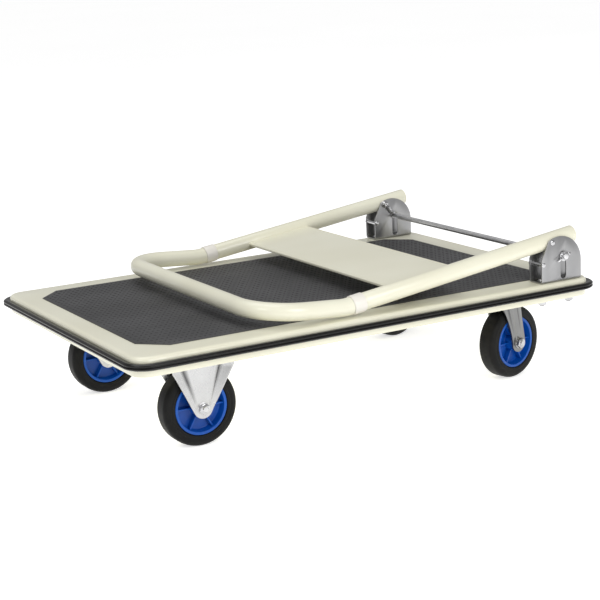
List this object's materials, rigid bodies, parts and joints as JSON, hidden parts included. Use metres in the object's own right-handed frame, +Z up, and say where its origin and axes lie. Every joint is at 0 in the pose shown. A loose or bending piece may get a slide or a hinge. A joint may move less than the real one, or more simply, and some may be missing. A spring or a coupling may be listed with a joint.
{
  "type": "folding platform cart",
  "caption": "Flat-bed platform cart with a steel deck, rubber mat and bumper, fixed and swivel casters, and a tubular push handle that folds down and locks upright.",
  "frame": {"origin": "centre of the deck's outline, on the ground under the wheels", "axes": "+X towards the handle's pivot end, which is the rear, +Y to the cart's right as it is pushed towards -X, +Z up"},
  "size_m": [0.91, 0.61, 0.2815],
  "materials": {
    "cream_paint": "gloss powder coat",
    "pale_plastic": "satin",
    "mat_rubber": "matt, small raised dashes",
    "bumper_rubber": "satin extruded strip",
    "tyre_rubber": "matt moulded",
    "blue_hub": "moulded",
    "bush_plastic": "plain",
    "plug_plastic": "plain",
    "zinc_plate": "zinc plated pressed sheet",
    "bright_steel": "bright zinc",
    "spring_steel": "bright wire"
  },
  "bodies": {
    "deck": {"deck_pan": "cream_paint", "anti_slip_mat": "mat_rubber", "bumper_strip": "bumper_rubber", "side_rail_left": "cream_paint", "side_rail_right": "cream_paint", "cross_beam_front": "cream_paint", "cross_beam_rear": "cream_paint", "bracket_left": "zinc_plate", "bracket_right": "zinc_plate", "stop_pin_left": "bright_steel", "stop_pin_right": "bright_steel", "pivot_bolt_left": "bright_steel", "pivot_bolt_right": "bright_steel", "bracket_bolt_left_front": "bright_steel", "bracket_bolt_left_rear": "bright_steel", "bracket_bolt_right_front": "bright_steel", "bracket_bolt_right_rear": "bright_steel", "return_spring_left": "spring_steel", "return_spring_right": "spring_steel", "fixed_fork_left": "zinc_plate", "fixed_fork_right": "zinc_plate", "front_left_axle_bolt": "bright_steel", "front_left_axle_nut": "bright_steel", "front_right_axle_bolt": "bright_steel", "front_right_axle_nut": "bright_steel", "swivel_plate_left": "zinc_plate", "swivel_plate_right": "zinc_plate"},
    "handle": {"arm_left": "cream_paint", "arm_right": "cream_paint", "end_plug_left": "plug_plastic", "end_plug_right": "plug_plastic", "grip_collar_left": "pale_plastic", "grip_collar_right": "pale_plastic", "grip_tube": "cream_paint", "handle_panel": "cream_paint"},
    "release": {"release_bar": "bright_steel", "bar_end_left": "bright_steel", "bar_end_right": "bright_steel", "cotter_pin_left": "spring_steel", "cotter_pin_right": "spring_steel"},
    "swivel_left": {"swivel_fork_left": "zinc_plate", "rear_left_axle_bolt": "bright_steel", "rear_left_axle_nut": "bright_steel"},
    "swivel_right": {"swivel_fork_right": "zinc_plate", "rear_right_axle_bolt": "bright_steel", "rear_right_axle_nut": "bright_steel"},
    "wheel_front_left": {"front_left_tyre": "tyre_rubber", "front_left_hub": "blue_hub", "front_left_bush": "bush_plastic"},
    "wheel_front_right": {"front_right_tyre": "tyre_rubber", "front_right_hub": "blue_hub", "front_right_bush": "bush_plastic"},
    "wheel_rear_left": {"rear_left_tyre": "tyre_rubber", "rear_left_hub": "blue_hub", "rear_left_bush": "bush_plastic"},
    "wheel_rear_right": {"rear_right_tyre": "tyre_rubber", "rear_right_hub": "blue_hub", "rear_right_bush": "bush_plastic"}
  },
  "joints": [
    {"name": "handle_fold", "type": "hinge", "parent": "deck", "child": "handle", "pos_m": [0.357, 0, 0.2595], "axis": [0, 1, 0], "range_deg": [0, 97]},
    {"name": "release_press", "type": "slide", "parent": "deck", "child": "release", "axis": [0, 0, -1], "range_m": [0, 0.034], "stiffness_N_per_m": 1200, "springref_m": -0.012, "deforming": ["return_spring_left", "return_spring_right"]},
    {"name": "swivel_left_turn", "type": "hinge", "parent": "deck", "child": "swivel_left", "pos_m": [0.3, -0.194, 0.15], "axis": [0, 0, 1], "continuous": true},
    {"name": "swivel_right_turn", "type": "hinge", "parent": "deck", "child": "swivel_right", "pos_m": [0.3, 0.194, 0.15], "axis": [0, 0, 1], "continuous": true},
    {"name": "wheel_front_left_roll", "type": "hinge", "parent": "deck", "child": "wheel_front_left", "pos_m": [-0.3, -0.194, 0.066], "axis": [0, 1, 0], "continuous": true},
    {"name": "wheel_front_right_roll", "type": "hinge", "parent": "deck", "child": "wheel_front_right", "pos_m": [-0.3, 0.194, 0.066], "axis": [0, 1, 0], "continuous": true},
    {"name": "wheel_rear_left_roll", "type": "hinge", "parent": "swivel_left", "child": "wheel_rear_left", "pos_m": [0.33605, -0.18568, 0.066], "axis": [-0.225, 0.9744, 0], "continuous": true},
    {"name": "wheel_rear_right_roll", "type": "hinge", "parent": "swivel_right", "child": "wheel_rear_right", "pos_m": [0.33605, 0.20232, 0.066], "axis": [-0.225, 0.9744, 0], "continuous": true}
  ]
}
